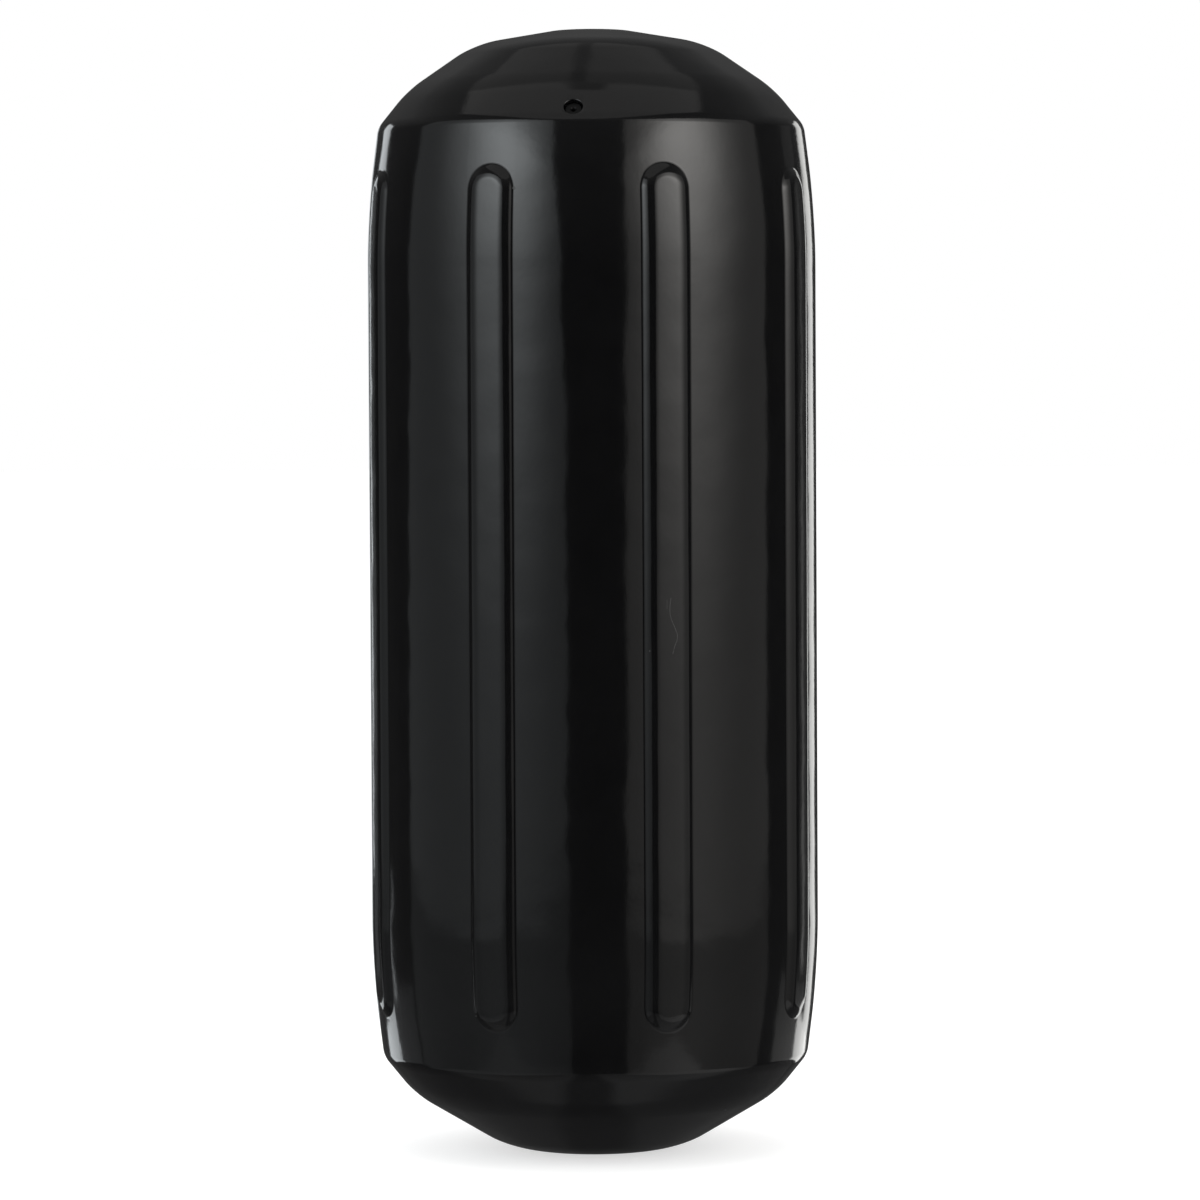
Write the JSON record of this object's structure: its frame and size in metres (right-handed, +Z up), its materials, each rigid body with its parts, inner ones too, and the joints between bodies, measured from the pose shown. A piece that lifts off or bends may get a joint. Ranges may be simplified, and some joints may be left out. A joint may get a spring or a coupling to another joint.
{
  "type": "pneumatic fender",
  "caption": "Upright inflatable boat fender of glossy black vinyl, with domed ends, raised vertical ribs, a rope tube through its middle and a needle valve in its upper shoulder.",
  "frame": {"origin": "middle of the lower end face, on the rope tube's axis, which is the lowest point", "axes": "+Z up along the rope tube, -Y towards the needle valve's side, which the picture shows"},
  "size_m": [0.2032, 0.2032, 0.508],
  "materials": {
    "vinyl": "glossy blown black vinyl with faint waviness",
    "valve_rubber": "satin moulded rubber"
  },
  "bodies": {
    "root": {"fender_body": "vinyl", "needle_valve": "valve_rubber"}
  },
  "joints": []
}
